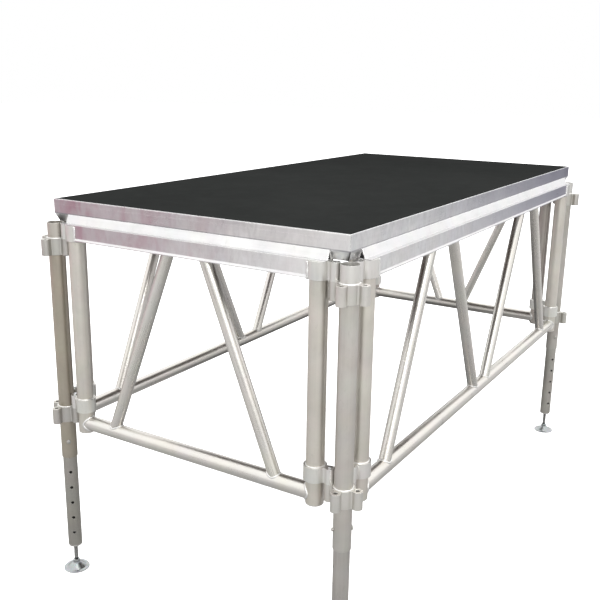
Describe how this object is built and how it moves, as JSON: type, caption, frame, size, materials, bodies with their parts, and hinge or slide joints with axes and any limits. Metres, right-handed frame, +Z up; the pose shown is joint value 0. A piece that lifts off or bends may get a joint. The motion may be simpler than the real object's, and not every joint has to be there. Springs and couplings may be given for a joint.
{
  "type": "stage riser platform",
  "caption": "Rectangular stage riser deck on welded aluminium side frames, pinned to telescopic corner legs with screw-jack feet.",
  "frame": {"origin": "on the floor, under the centre of the deck", "axes": "+X along the deck's long side, +Y across its short side, +Z up"},
  "size_m": [2.574, 1.354, 1.51],
  "materials": {
    "frame_tube": "mill finish, satin, drawn lengthwise",
    "leg_tube": "mill finish, satin, scuffed by the sliding inner tube",
    "rail_extrusion": "mill finish extrusion, bright and streaked lengthwise",
    "rim_extrusion": "mill finish extrusion, mottled by handling",
    "bracket_extrusion": "sawn extrusion, satin",
    "zinc_steel": "bright zinc plate",
    "bearing_steel": "turned, lightly greased",
    "foot_zinc": "zinc plated casting",
    "deck_surface": "plywood faced with dark anti-slip film"
  },
  "bodies": {
    "root": {"front_frame_top_rail": "rail_extrusion", "front_frame_bottom_chord": "frame_tube", "front_frame_uprights": "frame_tube", "front_frame_braces": "frame_tube", "front_frame_brackets": "bracket_extrusion", "back_frame_top_rail": "rail_extrusion", "back_frame_bottom_chord": "frame_tube", "back_frame_uprights": "frame_tube", "back_frame_braces": "frame_tube", "back_frame_brackets": "bracket_extrusion", "left_frame_top_rail": "rail_extrusion", "left_frame_bottom_chord": "frame_tube", "left_frame_uprights": "frame_tube", "left_frame_braces": "frame_tube", "left_frame_brackets": "bracket_extrusion", "right_frame_top_rail": "rail_extrusion", "right_frame_bottom_chord": "frame_tube", "right_frame_uprights": "frame_tube", "right_frame_braces": "frame_tube", "right_frame_brackets": "bracket_extrusion", "frame_spigot_pins": "zinc_steel", "upright_end_caps": "frame_tube", "leg_fl_outer_tube": "leg_tube", "leg_fl_collars": "bracket_extrusion", "leg_fr_outer_tube": "leg_tube", "leg_fr_collars": "bracket_extrusion", "leg_bl_outer_tube": "leg_tube", "leg_bl_collars": "bracket_extrusion", "leg_br_outer_tube": "leg_tube", "leg_br_collars": "bracket_extrusion"},
    "deck": {"deck_panel": "deck_surface", "deck_long_rims": "rim_extrusion", "deck_short_rims": "rim_extrusion", "deck_cross_members": "rim_extrusion", "deck_corner_angles": "rim_extrusion", "deck_panel_screws": "zinc_steel"},
    "leg_fl": {"leg_fl_inner_tube": "leg_tube", "leg_fl_jack_nut": "zinc_steel"},
    "pin_fl": {"leg_fl_lock_pin": "zinc_steel"},
    "barrel_fl": {"leg_fl_swivel_barrel": "bearing_steel"},
    "screw_fl": {"leg_fl_jack_screw": "zinc_steel"},
    "foot_fl": {"leg_fl_foot_plate": "foot_zinc"},
    "leg_fr": {"leg_fr_inner_tube": "leg_tube", "leg_fr_jack_nut": "zinc_steel"},
    "pin_fr": {"leg_fr_lock_pin": "zinc_steel"},
    "barrel_fr": {"leg_fr_swivel_barrel": "bearing_steel"},
    "screw_fr": {"leg_fr_jack_screw": "zinc_steel"},
    "foot_fr": {"leg_fr_foot_plate": "foot_zinc"},
    "leg_bl": {"leg_bl_inner_tube": "leg_tube", "leg_bl_jack_nut": "zinc_steel"},
    "pin_bl": {"leg_bl_lock_pin": "zinc_steel"},
    "barrel_bl": {"leg_bl_swivel_barrel": "bearing_steel"},
    "screw_bl": {"leg_bl_jack_screw": "zinc_steel"},
    "foot_bl": {"leg_bl_foot_plate": "foot_zinc"},
    "leg_br": {"leg_br_inner_tube": "leg_tube", "leg_br_jack_nut": "zinc_steel"},
    "pin_br": {"leg_br_lock_pin": "zinc_steel"},
    "barrel_br": {"leg_br_swivel_barrel": "bearing_steel"},
    "screw_br": {"leg_br_jack_screw": "zinc_steel"},
    "foot_br": {"leg_br_foot_plate": "foot_zinc"}
  },
  "joints": [
    {"name": "deck_lift", "type": "slide", "parent": "root", "child": "deck", "axis": [0, 0, 1], "range_m": [0, 0.15]},
    {"name": "leg_fl_retract", "type": "slide", "parent": "root", "child": "leg_fl", "axis": [0, 0, 1], "range_m": [0, 0.396], "stiffness_N_per_m": 20000, "springref_m": -0.05},
    {"name": "pin_fl_pull", "type": "slide", "parent": "root", "child": "pin_fl", "axis": [0.7071, -0.7071, 0], "range_m": [0, 0.08]},
    {"name": "jack_fl_travel", "type": "slide", "parent": "leg_fl", "child": "barrel_fl", "axis": [0, 0, 1], "range_m": [0, 0.055], "stiffness_N_per_m": 20000, "springref_m": -0.05},
    {"name": "jack_fl_turn", "type": "hinge", "parent": "barrel_fl", "child": "screw_fl", "pos_m": [-1.22, -0.61, 0.1], "axis": [0, 0, 1], "range_deg": [0, 4950]},
    {"name": "foot_fl_tilt", "type": "hinge", "parent": "barrel_fl", "child": "foot_fl", "pos_m": [-1.22, -0.61, 0.018], "axis": [0, 1, 0], "range_deg": [-8, 8]},
    {"name": "leg_fr_retract", "type": "slide", "parent": "root", "child": "leg_fr", "axis": [0, 0, 1], "range_m": [0, 0.396], "stiffness_N_per_m": 20000, "springref_m": -0.05},
    {"name": "pin_fr_pull", "type": "slide", "parent": "root", "child": "pin_fr", "axis": [-0.7071, -0.7071, 0], "range_m": [0, 0.08]},
    {"name": "jack_fr_travel", "type": "slide", "parent": "leg_fr", "child": "barrel_fr", "axis": [0, 0, 1], "range_m": [0, 0.055], "stiffness_N_per_m": 20000, "springref_m": -0.05},
    {"name": "jack_fr_turn", "type": "hinge", "parent": "barrel_fr", "child": "screw_fr", "pos_m": [1.22, -0.61, 0.1], "axis": [0, 0, 1], "range_deg": [0, 4950]},
    {"name": "foot_fr_tilt", "type": "hinge", "parent": "barrel_fr", "child": "foot_fr", "pos_m": [1.22, -0.61, 0.018], "axis": [0, 1, 0], "range_deg": [-8, 8]},
    {"name": "leg_bl_retract", "type": "slide", "parent": "root", "child": "leg_bl", "axis": [0, 0, 1], "range_m": [0, 0.396], "stiffness_N_per_m": 20000, "springref_m": -0.05},
    {"name": "pin_bl_pull", "type": "slide", "parent": "root", "child": "pin_bl", "axis": [-0.7071, -0.7071, 0], "range_m": [0, 0.08]},
    {"name": "jack_bl_travel", "type": "slide", "parent": "leg_bl", "child": "barrel_bl", "axis": [0, 0, 1], "range_m": [0, 0.055], "stiffness_N_per_m": 20000, "springref_m": -0.05},
    {"name": "jack_bl_turn", "type": "hinge", "parent": "barrel_bl", "child": "screw_bl", "pos_m": [-1.22, 0.61, 0.1], "axis": [0, 0, 1], "range_deg": [0, 4950]},
    {"name": "foot_bl_tilt", "type": "hinge", "parent": "barrel_bl", "child": "foot_bl", "pos_m": [-1.22, 0.61, 0.018], "axis": [0, 1, 0], "range_deg": [-8, 8]},
    {"name": "leg_br_retract", "type": "slide", "parent": "root", "child": "leg_br", "axis": [0, 0, 1], "range_m": [0, 0.396], "stiffness_N_per_m": 20000, "springref_m": -0.05},
    {"name": "pin_br_pull", "type": "slide", "parent": "root", "child": "pin_br", "axis": [0.7071, -0.7071, 0], "range_m": [0, 0.08]},
    {"name": "jack_br_travel", "type": "slide", "parent": "leg_br", "child": "barrel_br", "axis": [0, 0, 1], "range_m": [0, 0.055], "stiffness_N_per_m": 20000, "springref_m": -0.05},
    {"name": "jack_br_turn", "type": "hinge", "parent": "barrel_br", "child": "screw_br", "pos_m": [1.22, 0.61, 0.1], "axis": [0, 0, 1], "range_deg": [0, 4950]},
    {"name": "foot_br_tilt", "type": "hinge", "parent": "barrel_br", "child": "foot_br", "pos_m": [1.22, 0.61, 0.018], "axis": [0, 1, 0], "range_deg": [-8, 8]}
  ],
  "couplings": [
    {"joint": "jack_fl_turn", "follows": "jack_fl_travel", "rad_per_m": 1570.8},
    {"joint": "jack_fr_turn", "follows": "jack_fr_travel", "rad_per_m": 1570.8},
    {"joint": "jack_bl_turn", "follows": "jack_bl_travel", "rad_per_m": 1570.8},
    {"joint": "jack_br_turn", "follows": "jack_br_travel", "rad_per_m": 1570.8}
  ]
}
